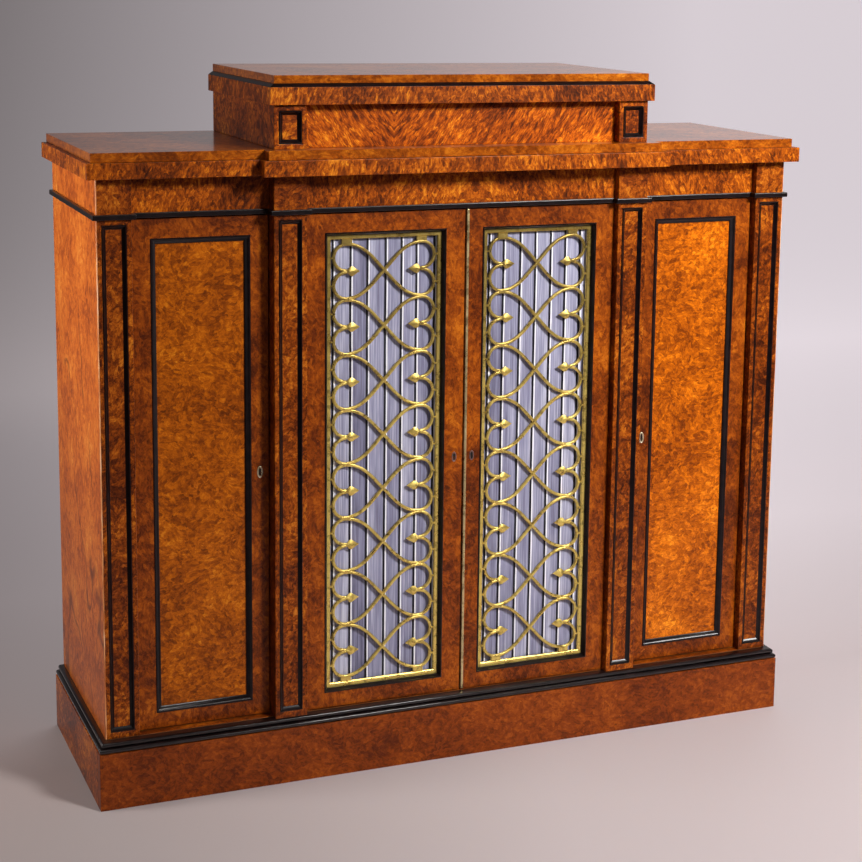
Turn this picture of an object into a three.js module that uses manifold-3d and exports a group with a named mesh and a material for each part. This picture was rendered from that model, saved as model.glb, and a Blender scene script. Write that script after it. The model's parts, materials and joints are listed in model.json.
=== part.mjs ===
// A breakfront side cabinet: a plinth, a carcass of three cupboards behind four pilasters, a stepped
// cornice and a low upper box. Two narrow wing doors have sunk panels. The two centre doors have brass
// grilles over silk.
// Millimetres, +Z up, front towards -Y. The origin is the centre of the footprint at floor level.
import * as THREE from "three";
import { mergeVertices } from "three/addons/utils/BufferGeometryUtils.js";
import Module from "manifold-3d";

const wasm = await Module();
wasm.setup();

// ---- driving dimensions ------------------------------------------------------------------------------

const depth = 448; // back of the carcass to the front of the centre cornice
const back = depth / 2;

// Half widths, and the inner and outer sides of the pilasters.
const carcassHalf = 667;
const plinthHalf = 683;
const pilasterWidth = 60;
const outerPilaster = [carcassHalf - pilasterWidth, carcassHalf];
const centrePilaster = [303, 303 + pilasterWidth];

// Front planes, from the most forward to the deepest.
const centreCorniceFront = -back;
const corniceBreak = 27;
const wingCorniceFront = centreCorniceFront + corniceBreak;
const plinthFront = -196;
const centrePilasterFront = -187;
const outerPilasterFront = centrePilasterFront + 14;
const centreDoorFront = centrePilasterFront + 15;
const wingDoorFront = outerPilasterFront + 16;
const pilasterBack = -137;

// Heights.
const plinthTop = 103;
const ledge = 121.5; // top of the plinth moulding, which the doors clear
const beadBottom = 1039.5;
const beadTop = 1048.5;
const bandBottom = 1109.5;
const bandTop = 1137;
const corniceTop = 1153;
const upperBandBottom = 1229.5;
const upperBandTop = 1260;
const upperBeadTop = 1266;
const top = 1280;

// Boards and joints.
const boardThick = 20;
const plinthThick = 22;
const shelfThick = 18;
const backThick = 10;
const doorThick = 22;
const doorGap = 2.5; // round each door
const meetingGap = 3; // between the two centre doors
const beadProud = 7;
const sunkDepth = 5.5; // pockets behind the small black mouldings
const sunkWidth = 42;
const sunkHeights = [133.5, 1030];
const wingShelfHeight = 570;
const centreShelfHeights = { lower: 415, upper: 725 };

// Cornice: a band and a smaller slab on it, both stepped forward over the centre.
const bandHalf = 686;
const bandCentreHalf = 390;
const slabHalf = 677;
const slabCentreHalf = 378;
const slabInset = 14; // slab behind the band's front

// Upper box.
const upperHalf = 361;
const upperFront = -183;
const upperBlockIn = 302; // inner side of the end blocks
const upperBlockBack = -146;
const upperRecess = 19; // panel behind the end blocks
const upperEndThick = 18;
const upperBackThick = 12;
const upperOverhang = 9; // band past the box
const upperPocket = { sides: [311, 352], heights: [1162, 1219] };
const upperBeadLip = 1; // top of the sloped bead past the box

// Doors.
const doorBottom = ledge + doorGap;
const doorTop = beadBottom - doorGap;
const apertureBottom = 152;
const apertureTop = 1003;
const wingAperture = [397, 573];
const centreAperture = [35.5, 265.5];
const wingMouldingWidth = 10;
const centreMouldingWidth = 6;
const pivotInset = 5; // pivot pin from the door's front face and from its hinge edge
const keyholeHeight = 578;
const keyholeInset = 16;
const panelInset = 7; // wing panel behind the door's face
const panelThick = 8;
const mouldingProud = 1.5; // door mouldings in front of the door's face

// Grille: crossing scrolls in one bar section, repeated up the door.
const grilleRepeats = 8;
const grillePitch = 101;
const grilleBar = 6;
const grilleThick = 4;
const grilleLoopCentre = [-71.5, 25.2];
const grilleLoopRadius = 24;
const grilleInset = 8.5; // grille behind the door's face
const grilleClear = { side: 2, end: 2 }; // round the grille's frame, inside the aperture
const grilleFrame = { side: 12, end: 12 }; // width of the grille's frame bars
const silkInset = 14.5; // silk behind the door's face
const silkThick = 4;
const silkClear = 3;

// ---- materials ---------------------------------------------------------------------------------------

const finishes = {
  burr: { color: 0x9a4a16, roughness: 0.32, metalness: 0 },
  doorFrame: { color: 0x84421a, roughness: 0.32, metalness: 0 },
  panel: { color: 0xa3621f, roughness: 0.3, metalness: 0 },
  side: { color: 0xb5652e, roughness: 0.35, metalness: 0 },
  timber: { color: 0x7a5636, roughness: 0.6, metalness: 0 },
  ebonised: { color: 0x201c1d, roughness: 0.25, metalness: 0 },
  brass: { color: 0xb39545, roughness: 0.35, metalness: 0.9 },
  steel: { color: 0x8a8b8c, roughness: 0.4, metalness: 0.9 },
  silk: { color: 0xa9a6bd, roughness: 0.6, metalness: 0 },
};

const roundSides = 12;
const cabinet = new THREE.Group();

function place(name, geometry, finish) {
  const mesh = new THREE.Mesh(geometry, new THREE.MeshStandardMaterial(finishes[finish]));
  mesh.name = name;
  cabinet.add(mesh);
  return mesh;
}

// ---- shape helpers -----------------------------------------------------------------------------------

// A box from its low and high limits along each axis.
function box([x0, x1], [y0, y1], [z0, z1]) {
  const geometry = new THREE.BoxGeometry(x1 - x0, y1 - y0, z1 - z0);
  return geometry.translate((x0 + x1) / 2, (y0 + y1) / 2, (z0 + z1) / 2);
}

// A box given by distances from the centre line, on the left (-1) or right (+1) side of the cabinet.
function sideBox(side, [inner, outer], ys, zs) {
  return box(side < 0 ? [-outer, -inner] : [inner, outer], ys, zs);
}

function shapeOf(points) {
  return new THREE.Shape(points.map(([x, y]) => new THREE.Vector2(x, y)));
}

// A plan outline raised from one height to another.
function raise(points, z0, z1) {
  const geometry = new THREE.ExtrudeGeometry(shapeOf(points), { depth: z1 - z0, bevelEnabled: false });
  return geometry.translate(0, 0, z0);
}

// A front elevation (x, z) given thickness, from a front plane backwards.
function facing(shape, front, thickness) {
  const geometry = new THREE.ExtrudeGeometry(shape, { depth: thickness, bevelEnabled: false });
  return geometry.rotateX(Math.PI / 2).translate(0, front + thickness, 0);
}

// A cylinder standing up from z0 to z1.
function post(x, y, radius, z0, z1) {
  const geometry = new THREE.CylinderGeometry(radius, radius, z1 - z0, roundSides);
  return geometry.rotateX(Math.PI / 2).translate(x, y, (z0 + z1) / 2);
}

function solid(geometry) {
  const bare = geometry.clone();
  bare.deleteAttribute("normal");
  bare.deleteAttribute("uv");
  const merged = mergeVertices(bare, 1e-3);
  return new wasm.Manifold(
    new wasm.Mesh({
      numProp: 3,
      vertProperties: merged.attributes.position.array,
      triVerts: new Uint32Array(merged.index.array),
    }),
  );
}

function geometryOf(body) {
  const mesh = body.getMesh();
  const geometry = new THREE.BufferGeometry();
  geometry.setAttribute("position", new THREE.BufferAttribute(mesh.vertProperties, 3));
  geometry.setIndex(new THREE.BufferAttribute(mesh.triVerts, 1));
  return geometry;
}

function join(geometries) {
  return geometryOf(geometries.map(solid).reduce((whole, next) => whole.add(next)));
}

function cut(geometry, tools) {
  return geometryOf(tools.map(solid).reduce((left, tool) => left.subtract(tool), solid(geometry)));
}

// A closed profile of [inset, y] points carried round a rectangle with mitred corners.
function mitredRing([x0, x1], [z0, z1], profile) {
  const vertices = [];
  for (const [inset, y] of profile)
    vertices.push(
      [x0 + inset, y, z0 + inset],
      [x1 - inset, y, z0 + inset],
      [x1 - inset, y, z1 - inset],
      [x0 + inset, y, z1 - inset],
    );
  const faces = [];
  profile.forEach((_, i) => {
    const next = (i + 1) % profile.length;
    for (let corner = 0; corner < 4; corner++) {
      const turn = (corner + 1) % 4;
      const quad = [i * 4 + corner, i * 4 + turn, next * 4 + turn, next * 4 + corner];
      faces.push(quad[0], quad[1], quad[2], quad[0], quad[2], quad[3]);
    }
  });
  const geometry = new THREE.BufferGeometry();
  geometry.setAttribute("position", new THREE.Float32BufferAttribute(vertices.flat(), 3));
  geometry.setIndex(faces);
  return geometry;
}

const mirrored = (points) => [...points, ...points.map(([x, y]) => [-x, y]).reverse()];
const span = (side, [inner, outer]) => (side < 0 ? [-outer, -inner] : [inner, outer]);
const sides = [
  ["left", -1],
  ["right", 1],
];

// ---- plinth ------------------------------------------------------------------------------------------

const reedHeight = (ledge - plinthTop) / 2;
const lowerReedInset = 1;
const upperReedInset = 5;
const mouldingInner = plinthHalf - plinthThick;

function buildPlinth() {
  const innerFront = plinthFront + plinthThick;
  place(
    "plinth_front_board",
    box([-plinthHalf, plinthHalf], [plinthFront, innerFront], [0, plinthTop]),
    "burr",
  );
  for (const [word, side] of sides)
    place(
      `plinth_${word}_board`,
      sideBox(side, [mouldingInner, plinthHalf], [innerFront, back], [0, plinthTop]),
      "side",
    );
  place(
    "plinth_back_board",
    box([-mouldingInner, mouldingInner], [back - plinthThick, back], [0, plinthTop]),
    "timber",
  );
  // Two reeds, the upper one set back, running round the front and both sides.
  const reed = (inset, z0, z1) =>
    raise(
      mirrored([
        [-plinthHalf + inset, back],
        [-plinthHalf + inset, plinthFront + inset],
      ]).concat(
        mirrored([
          [mouldingInner, back],
          [mouldingInner, centreDoorFront],
        ]),
      ),
      z0,
      z1,
    );
  const joined = 1; // the reeds overlap by this much, so that they make one body
  const lower = reed(lowerReedInset, plinthTop, plinthTop + reedHeight);
  const upper = reed(upperReedInset, plinthTop + reedHeight - joined, ledge);
  place("plinth_moulding", join([lower, upper]), "ebonised");
}

// ---- carcass -----------------------------------------------------------------------------------------

const partition = [323, 323 + boardThick];
const railBack = pilasterBack + boardThick;
const shelfFront = -115;
const pinRadius = 3;
const pinDepth = 8;
const pinClear = { side: 0.3, end: 1 }; // round and beyond a pivot pin in its hole

// A door's edges are the distances of its free edge and its hinge edge from the centre line.
const wingEdges = [centrePilaster[1] + doorGap, outerPilaster[0] - doorGap];
const centreHingeEdge = centrePilaster[0] - doorGap;
const leafOverrun = 0.5; // the left leaf reaches this far past the centre line
const wingDoor = { edges: wingEdges, aperture: wingAperture, front: wingDoorFront };
const centreDoor = { aperture: centreAperture, front: centreDoorFront };
const doors = [
  { ...wingDoor, name: "left_wing", side: -1 },
  { ...centreDoor, name: "left_centre", side: -1, edges: [-leafOverrun, centreHingeEdge] },
  { ...centreDoor, name: "right_centre", side: 1, edges: [leafOverrun + meetingGap, centreHingeEdge] },
  { ...wingDoor, name: "right_wing", side: 1 },
];
const pivotOf = (door) => [door.side * (door.edges[1] - pivotInset), door.front + pivotInset];

const flushBolt = { x: [-22, -14], thick: 5, length: 102, clear: 0.5, drop: 0.5, holeClear: 1, holeDeep: 10 };

function buildCarcass() {
  const pivots = doors.map(pivotOf);
  place(
    "bottom_board",
    cut(
      box([-mouldingInner, mouldingInner], [centreDoorFront, back], [plinthTop, ledge]),
      pivots.map(([x, y]) =>
        post(x, y, pinRadius + pinClear.side, ledge - pinDepth - pinClear.end, ledge + 1),
      ),
    ),
    "side",
  );
  for (const [word, side] of sides) {
    place(
      `${word}_side_panel`,
      sideBox(side, [carcassHalf - boardThick, carcassHalf], [pilasterBack, back], [ledge, bandBottom]),
      "side",
    );
    // The top front corner is notched round the frieze rail.
    const profile = [
      [pilasterBack, ledge],
      [back - backThick, ledge],
      [back - backThick, bandBottom],
      [railBack, bandBottom],
      [railBack, beadBottom],
      [pilasterBack, beadBottom],
    ];
    const board = new THREE.ExtrudeGeometry(shapeOf(profile), { depth: boardThick, bevelEnabled: false });
    board.rotateX(Math.PI / 2).rotateZ(Math.PI / 2);
    place(`${word}_partition`, board.translate(span(side, partition)[0], 0, 0), "timber");
  }
  place(
    "back_panel",
    box([boardThick - carcassHalf, carcassHalf - boardThick], [back - backThick, back], [ledge, bandBottom]),
    "timber",
  );
  const shelfDepth = [shelfFront, back - backThick];
  for (const [word, side] of sides)
    place(
      `${word}_wing_shelf`,
      sideBox(
        side,
        [partition[1], carcassHalf - boardThick],
        shelfDepth,
        [wingShelfHeight, wingShelfHeight + shelfThick],
      ),
      "timber",
    );
  for (const [word, z] of Object.entries(centreShelfHeights))
    place(
      `centre_${word}_shelf`,
      box([-partition[0], partition[0]], shelfDepth, [z, z + shelfThick]),
      "timber",
    );
}

// The stepped line of the fronts in plan, pushed out by an offset.
function frontLine(offset) {
  const [outerIn] = outerPilaster;
  const [centreIn, centreOut] = centrePilaster;
  return mirrored([
    [-carcassHalf - offset, back],
    [-carcassHalf - offset, outerPilasterFront - offset],
    [-outerIn + offset, outerPilasterFront - offset],
    [-outerIn + offset, wingDoorFront - offset],
    [-centreOut - offset, wingDoorFront - offset],
    [-centreOut - offset, centrePilasterFront - offset],
    [-centreIn + offset, centrePilasterFront - offset],
    [-centreIn + offset, centreDoorFront - offset],
  ]);
}

const bolt = { length: 20, thick: 6, height: 16, travel: 8, frontInset: 10 };
const mortise = { thick: 8, height: 19, deep: 9 };

function buildPilasters() {
  for (const [word, side] of sides) {
    for (const [position, [inner, outer], front] of [
      ["outer", outerPilaster, outerPilasterFront],
      ["centre", centrePilaster, centrePilasterFront],
    ]) {
      const middle = (inner + outer) / 2;
      const sunk = [middle - sunkWidth / 2, middle + sunkWidth / 2];
      const tools = [sideBox(side, sunk, [front - 5, front + sunkDepth], sunkHeights)];
      // The wing door's bolt shoots into the outer side of the centre pilaster.
      if (position === "centre") {
        const boltMiddle = wingDoorFront + bolt.frontInset + bolt.thick / 2;
        tools.push(
          sideBox(
            side,
            [outer - mortise.deep, outer + 1],
            [boltMiddle - mortise.thick / 2, boltMiddle + mortise.thick / 2],
            [keyholeHeight - mortise.height / 2, keyholeHeight + mortise.height / 2],
          ),
        );
      }
      place(
        `${position}_${word}_pilaster`,
        cut(sideBox(side, [inner, outer], [front, pilasterBack], [ledge, bandBottom]), tools),
        "burr",
      );
    }
  }
}

function buildFrieze() {
  const inside = carcassHalf - boardThick;
  const [outerIn] = outerPilaster;
  const [centreIn, centreOut] = centrePilaster;
  const plan = mirrored([
    [-inside, railBack],
    [-inside, pilasterBack],
    [-outerIn, pilasterBack],
    [-outerIn, wingDoorFront],
    [-centreOut, wingDoorFront],
    [-centreOut, pilasterBack],
    [-centreIn, pilasterBack],
    [-centreIn, centreDoorFront],
  ]);
  const holeTop = beadBottom + pinDepth + pinClear.end;
  const holes = doors
    .map(pivotOf)
    .map(([x, y]) => post(x, y, pinRadius + pinClear.side, beadBottom - 1, holeTop));
  const boltBack = centreDoorFront + doorThick;
  const boltHole = box(
    [flushBolt.x[0] - flushBolt.holeClear, flushBolt.x[1] + flushBolt.holeClear],
    [boltBack - flushBolt.thick - flushBolt.holeClear, boltBack + flushBolt.holeClear],
    [beadBottom - 1, beadBottom + flushBolt.holeDeep],
  );
  place("frieze_rail", cut(raise(plan, beadBottom, bandBottom), [...holes, boltHole]), "burr");
  const beadPlan = [...frontLine(beadProud), ...frontLine(0).reverse()];
  place("frieze_bead", raise(beadPlan, beadBottom, beadTop), "ebonised");
}

function buildCornice() {
  const breakfront = (half, centreHalf, wing, centre) =>
    mirrored([
      [-half, back],
      [-half, wing],
      [-centreHalf, wing],
      [-centreHalf, centre],
    ]);
  const band = breakfront(bandHalf, bandCentreHalf, wingCorniceFront, centreCorniceFront);
  place("cornice_band", raise(band, bandBottom, bandTop), "burr");
  const slabFronts = [wingCorniceFront + slabInset, centreCorniceFront + slabInset];
  const slab = breakfront(slabHalf, slabCentreHalf, ...slabFronts);
  place("cornice_top", raise(slab, bandTop, corniceTop), "burr");
}

// ---- upper box ---------------------------------------------------------------------------------------

function buildUpperBox() {
  const levels = [corniceTop, upperBandBottom];
  const endIn = upperHalf - upperEndThick;
  place(
    "upper_front_panel",
    box([-upperBlockIn, upperBlockIn], [upperFront + upperRecess, upperBlockBack], levels),
    "burr",
  );
  place("upper_back_board", box([-endIn, endIn], [back - upperBackThick, back], levels), "timber");
  for (const [word, side] of sides) {
    const plan = [
      [side * upperHalf, back],
      [side * upperHalf, upperFront],
      [side * upperBlockIn, upperFront],
      [side * upperBlockIn, upperBlockBack],
      [side * endIn, upperBlockBack],
      [side * endIn, back],
    ];
    // A low square pocket in the face of each end block takes the small black moulding.
    const pocketDepth = [upperFront - 5, upperFront + sunkDepth];
    const pocket = sideBox(side, upperPocket.sides, pocketDepth, upperPocket.heights);
    place(`upper_${word}_end`, cut(raise(plan, ...levels), [pocket]), "burr");
  }
  const outline = (past) =>
    mirrored([
      [-upperHalf - past, back],
      [-upperHalf - past, upperFront - past],
    ]);
  const low = outline(upperOverhang);
  place("upper_band", raise(low, upperBandBottom, upperBandTop), "burr");
  // The black bead slopes in from the band's edge to the top.
  const high = outline(upperBeadLip);
  const bead = raise(low, upperBandTop, upperBeadTop);
  const points = bead.attributes.position;
  for (let i = 0; i < points.count; i++) {
    if (points.getZ(i) < upperBeadTop) continue;
    const corner = low.findIndex(([x, y]) => x === points.getX(i) && y === points.getY(i));
    points.setXY(i, ...high[corner]);
  }
  place("upper_bead", bead, "ebonised");
  place("upper_top", raise(outline(0), upperBeadTop, top), "burr");
}

// ---- doors -------------------------------------------------------------------------------------------

const heights = [doorBottom, doorTop];
const apertureHeights = [apertureBottom, apertureTop];
const meetingStrip = { width: 5, deep: 6, proud: 2 };
const lock = { width: 26, height: 60, thick: 15, slack: 0.5 };
const pivotPlate = { length: 40, width: 14, thick: 3, inset: 1 };
const keyholeShape = { slotHalf: 1.3, slotDrop: 5, slotRise: 1, headRadius: 2.6, headRise: 2.5 };

// The pocket for a lock, let into the back of the stile at its free edge, and the channel of its bolt.
function lockSpace(door, grow) {
  const [free] = door.edges;
  const rear = door.front + doorThick;
  return {
    pocket: sideBox(
      door.side,
      [free - grow, free + lock.width],
      [rear - lock.thick, rear + grow],
      [keyholeHeight - lock.height / 2, keyholeHeight + lock.height / 2],
    ),
    channel: sideBox(
      door.side,
      [free - 1, free + bolt.length + 2],
      [door.front + bolt.frontInset - lock.slack, door.front + bolt.frontInset + bolt.thick + lock.slack],
      [keyholeHeight - bolt.height / 2 - lock.slack, keyholeHeight + bolt.height / 2 + lock.slack],
    ),
  };
}

// A round-headed slot through the face of the stile.
function keyhole(door, deep) {
  const x = door.side * (door.edges[0] + keyholeInset);
  const { slotHalf, slotDrop, slotRise, headRadius, headRise } = keyholeShape;
  const slot = box(
    [x - slotHalf, x + slotHalf],
    [door.front - 1, door.front + deep],
    [keyholeHeight - slotDrop, keyholeHeight + slotRise],
  );
  const head = new THREE.CylinderGeometry(headRadius, headRadius, deep + 1, roundSides);
  head.translate(x, door.front + (deep - 1) / 2, keyholeHeight + headRise);
  return [slot, head];
}

function pivotPieces(door, atTop) {
  const [x, y] = pivotOf(door);
  const edge = door.edges[1];
  const z = atTop ? [doorTop - pivotPlate.thick, doorTop] : [doorBottom, doorBottom + pivotPlate.thick];
  const plate = sideBox(
    door.side,
    [edge - pivotPlate.length - pivotPlate.inset, edge - pivotPlate.inset],
    [door.front + pivotPlate.inset, door.front + pivotPlate.inset + pivotPlate.width],
    z,
  );
  const pin = atTop
    ? post(x, y, pinRadius, doorTop - 1, beadBottom + pinDepth)
    : post(x, y, pinRadius, ledge - pinDepth, doorBottom + 1);
  return { plate, pin };
}

function buildDoorFrame(door, cuts) {
  const outer = box(span(door.side, door.edges), [door.front, door.front + doorThick], heights);
  const opening = sideBox(
    door.side,
    door.aperture,
    [door.front - 1, door.front + doorThick + 1],
    apertureHeights,
  );
  const plates = [false, true].map((atTop) => pivotPieces(door, atTop).plate);
  place(`${door.name}_door_frame`, cut(outer, [opening, ...plates, ...cuts]), "doorFrame");
  for (const atTop of [false, true]) {
    const { plate, pin } = pivotPieces(door, atTop);
    place(`${door.name}_${atTop ? "top" : "bottom"}_pivot`, join([plate, pin]), "brass");
  }
}

function buildLock(door) {
  const { pocket, channel } = lockSpace(door, 0);
  const through = keyhole(door, doorThick - lock.thick + 3);
  place(`${door.name}_lock_case`, cut(pocket, [channel, ...through]), "steel");
  const [free] = door.edges;
  place(
    `${door.name}_lock_bolt`,
    sideBox(
      door.side,
      [free, free + bolt.length],
      [door.front + bolt.frontInset, door.front + bolt.frontInset + bolt.thick],
      [keyholeHeight - bolt.height / 2, keyholeHeight + bolt.height / 2],
    ),
    "brass",
  );
}

function buildWingDoor(door) {
  const faceDepth = doorThick - lock.thick + 1;
  buildDoorFrame(door, [lockSpace(door, 1).pocket, ...keyhole(door, faceDepth)]);
  buildLock(door);
  const panelFront = door.front + panelInset;
  place(
    `${door.name}_door_panel`,
    sideBox(door.side, door.aperture, [panelFront, panelFront + panelThick], apertureHeights),
    "panel",
  );
  // From a low lip on the frame's face down a slope to the panel.
  const profile = [
    [0, panelFront],
    [0, door.front - 1],
    [2, door.front - mouldingProud],
    [wingMouldingWidth, panelFront - 1],
    [wingMouldingWidth, panelFront],
  ];
  place(
    `${door.name}_door_moulding`,
    mitredRing(span(door.side, door.aperture), apertureHeights, profile),
    "ebonised",
  );
}

// One side's half of a scroll: from the bud's neck round a loop and out towards the crossing.
function scrollPath() {
  const [loopX, loopZ] = grilleLoopCentre;
  const points = [];
  const loopSteps = 5;
  for (let i = 0; i <= loopSteps; i++) {
    const angle = THREE.MathUtils.degToRad(-90 - (180 * i) / loopSteps);
    const x = loopX + grilleLoopRadius * Math.cos(angle);
    const z = loopZ + grilleLoopRadius * Math.sin(angle);
    points.push(new THREE.Vector2(x, z));
  }
  const start = points[points.length - 1];
  const sweep = new THREE.CubicBezierCurve(
    start,
    new THREE.Vector2(start.x + 34, start.y),
    new THREE.Vector2(-18, 18),
    new THREE.Vector2(0, 0),
  );
  const sweepSteps = 3;
  return [...points, ...sweep.getPoints(sweepSteps).slice(1)];
}

// A flat bar of even width along a path, as an outline.
function barOutline(path, width) {
  const left = [];
  const right = [];
  path.forEach((point, i) => {
    const before = path[Math.max(i - 1, 0)];
    const after = path[Math.min(i + 1, path.length - 1)];
    const normal = new THREE.Vector2(before.y - after.y, after.x - before.x).normalize();
    left.push(point.clone().addScaledVector(normal, width / 2));
    right.push(point.clone().addScaledVector(normal, -width / 2));
  });
  return [...left, ...right.reverse()];
}

function buildGrille(door) {
  const middleX = (door.side * (door.aperture[0] + door.aperture[1])) / 2;
  const middleZ = (apertureBottom + apertureTop) / 2;
  const front = door.front + grilleInset;
  const outerHalf = [
    (door.aperture[1] - door.aperture[0]) / 2 - grilleClear.side,
    (apertureTop - apertureBottom) / 2 - grilleClear.end,
  ];
  const innerHalf = [outerHalf[0] - grilleFrame.side, outerHalf[1] - grilleFrame.end];
  const piece = (outline) =>
    facing(
      new THREE.Shape(outline.map(([x, z]) => new THREE.Vector2(middleX + x, middleZ + z))),
      front,
      grilleThick,
    );
  const rectangle = (x0, x1, z0, z1) => [
    [x0, z0],
    [x1, z0],
    [x1, z1],
    [x0, z1],
  ];
  const frame = shapeOf(rectangle(-outerHalf[0], outerHalf[0], -outerHalf[1], outerHalf[1]));
  frame.holes.push(shapeOf(rectangle(-innerHalf[0], innerHalf[0], -innerHalf[1], innerHalf[1])));
  const pieces = [facing(frame, front, grilleThick).translate(middleX, 0, middleZ)];

  const half = scrollPath();
  const turned = half.slice(0, -1).map((point) => point.clone().negate());
  const scroll = barOutline([...half, ...turned.reverse()], grilleBar).map(({ x, y }) => [x, y]);
  const bud = [
    [-74, -3],
    [-60, -7],
    [-47, 0],
    [-60, 7],
    [-74, 3],
  ];
  const [loopX, loopZ] = grilleLoopCentre;
  const loopEdge = loopX - grilleLoopRadius;
  for (let repeat = 0; repeat < grilleRepeats; repeat++) {
    const z = (repeat - (grilleRepeats - 1) / 2) * grillePitch;
    for (const flip of [1, -1]) {
      const moved = (outline) => {
        const points = outline.map(([x, y]) => [flip * x, y + z]);
        return flip < 0 ? points.reverse() : points;
      };
      pieces.push(piece(moved(scroll)), piece(moved(bud)));
      for (const stub of [loopZ, -loopZ])
        pieces.push(piece(moved(rectangle(-innerHalf[0] - 1, loopEdge, stub - 1.5, stub + 1.5))));
    }
  }
  // Small blocks tie the end loops to the frame.
  const loopsEnd = (grilleRepeats * grillePitch) / 2 - 2;
  for (const x of [-81, 61])
    for (const [z0, z1] of [
      [loopsEnd, innerHalf[1] + 1],
      [-innerHalf[1] - 1, -loopsEnd],
    ])
      pieces.push(piece(rectangle(x, x + 20, z0, z1)));
  place(`${door.name}_grille`, join(pieces), "brass");
}

function buildCentreDoor(door, cuts) {
  buildDoorFrame(door, cuts);
  const mouldingBack = 8;
  const profile = [
    [0, door.front + mouldingBack],
    [0, door.front - 1],
    [2, door.front - mouldingProud],
    [centreMouldingWidth, door.front + 6],
    [centreMouldingWidth, door.front + mouldingBack],
  ];
  place(
    `${door.name}_door_moulding`,
    mitredRing(span(door.side, door.aperture), apertureHeights, profile),
    "ebonised",
  );
  buildGrille(door);
  const [inner, outer] = door.aperture;
  place(
    `${door.name}_silk`,
    sideBox(
      door.side,
      [inner + silkClear, outer - silkClear],
      [door.front + silkInset, door.front + silkInset + silkThick],
      [apertureBottom + silkClear, apertureTop - silkClear],
    ),
    "silk",
  );
}

function buildCentreDoors(leftDoor, rightDoor) {
  const faceDepth = doorThick - lock.thick + 1;
  // The left leaf has a mortise for the right leaf's bolt, and a groove for a flush bolt up into the frieze.
  const rear = leftDoor.front + doorThick;
  const groove = box(
    [flushBolt.x[0] - flushBolt.clear, flushBolt.x[1] + flushBolt.clear],
    [rear - flushBolt.thick - flushBolt.clear, rear + 1],
    [doorTop - flushBolt.length - 2, doorTop + 1],
  );
  const boltMiddle = leftDoor.front + bolt.frontInset + bolt.thick / 2;
  const keeper = box(
    [-mortise.deep, leafOverrun + 1],
    [boltMiddle - mortise.thick / 2, boltMiddle + mortise.thick / 2],
    [keyholeHeight - mortise.height / 2, keyholeHeight + mortise.height / 2],
  );
  buildCentreDoor(leftDoor, [groove, keeper, ...keyhole(leftDoor, 5)]);
  place(
    "left_centre_flush_bolt",
    box(
      flushBolt.x,
      [rear - flushBolt.thick, rear],
      [doorTop - flushBolt.drop - flushBolt.length, doorTop - flushBolt.drop],
    ),
    "brass",
  );
  // The right leaf carries a brass strip let into the front corner of its meeting edge.
  const edge = rightDoor.edges[0];
  const { width, deep, proud } = meetingStrip;
  const rebate = box(
    [edge - 1, edge + width],
    [rightDoor.front - 1, rightDoor.front + deep],
    [doorBottom - 1, doorTop + 1],
  );
  buildCentreDoor(rightDoor, [rebate, lockSpace(rightDoor, 1).pocket, ...keyhole(rightDoor, faceDepth)]);
  buildLock(rightDoor);
  place(
    "right_centre_meeting_strip",
    box([edge, edge + width], [rightDoor.front - proud, rightDoor.front + deep], heights),
    "brass",
  );
}

buildPlinth();
buildCarcass();
buildPilasters();
buildFrieze();
buildCornice();
buildUpperBox();
buildWingDoor(doors[0]);
buildCentreDoors(doors[1], doors[2]);
buildWingDoor(doors[3]);

export default cabinet;
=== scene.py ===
# Breakfront side cabinet in burr veneer, with brass grilles over pleated silk.
# Metres. The front faces -Y and the cabinet stands on z = 0.
import json
import math
import random

import bmesh
import bpy
from mathutils import Matrix, Vector

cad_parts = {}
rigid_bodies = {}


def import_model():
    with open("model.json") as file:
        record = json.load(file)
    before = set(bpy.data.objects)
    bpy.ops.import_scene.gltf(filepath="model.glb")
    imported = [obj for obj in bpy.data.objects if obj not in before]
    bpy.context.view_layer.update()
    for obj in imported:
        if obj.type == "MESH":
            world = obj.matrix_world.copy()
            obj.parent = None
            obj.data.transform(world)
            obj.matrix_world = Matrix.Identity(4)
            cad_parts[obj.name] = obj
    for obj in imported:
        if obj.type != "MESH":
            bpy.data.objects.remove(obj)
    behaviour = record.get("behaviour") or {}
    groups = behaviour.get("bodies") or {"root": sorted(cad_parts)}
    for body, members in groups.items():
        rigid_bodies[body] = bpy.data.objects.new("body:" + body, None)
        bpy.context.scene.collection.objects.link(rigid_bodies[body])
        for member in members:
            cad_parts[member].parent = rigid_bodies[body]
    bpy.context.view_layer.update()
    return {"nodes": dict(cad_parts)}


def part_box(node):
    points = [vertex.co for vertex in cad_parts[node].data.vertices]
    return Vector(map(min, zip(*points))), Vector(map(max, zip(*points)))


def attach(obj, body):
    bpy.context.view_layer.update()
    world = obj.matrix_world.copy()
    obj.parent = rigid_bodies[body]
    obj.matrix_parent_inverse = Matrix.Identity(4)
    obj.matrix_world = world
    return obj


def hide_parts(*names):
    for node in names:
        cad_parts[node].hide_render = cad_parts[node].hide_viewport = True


print("frame: loading the packed cabinet")
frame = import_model()
nodes = frame["nodes"]
scene = bpy.context.scene
mm = 0.001
doorNames = ["left_wing", "left_centre", "right_centre", "right_wing"]
grilleDoors = ["left_centre", "right_centre"]
pilasters = ["outer_left", "centre_left", "centre_right", "outer_right"]


def sideOf(word):
    return -1 if "left" in word else 1


# colours and node helpers

def tint(red, green, blue):
    # display values from 0 to 255, turned to linear ones
    def linear(value):
        share = value / 255
        return share / 12.92 if share <= 0.04045 else ((share + 0.055) / 1.055) ** 2.4
    return (linear(red), linear(green), linear(blue), 1)


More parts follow.
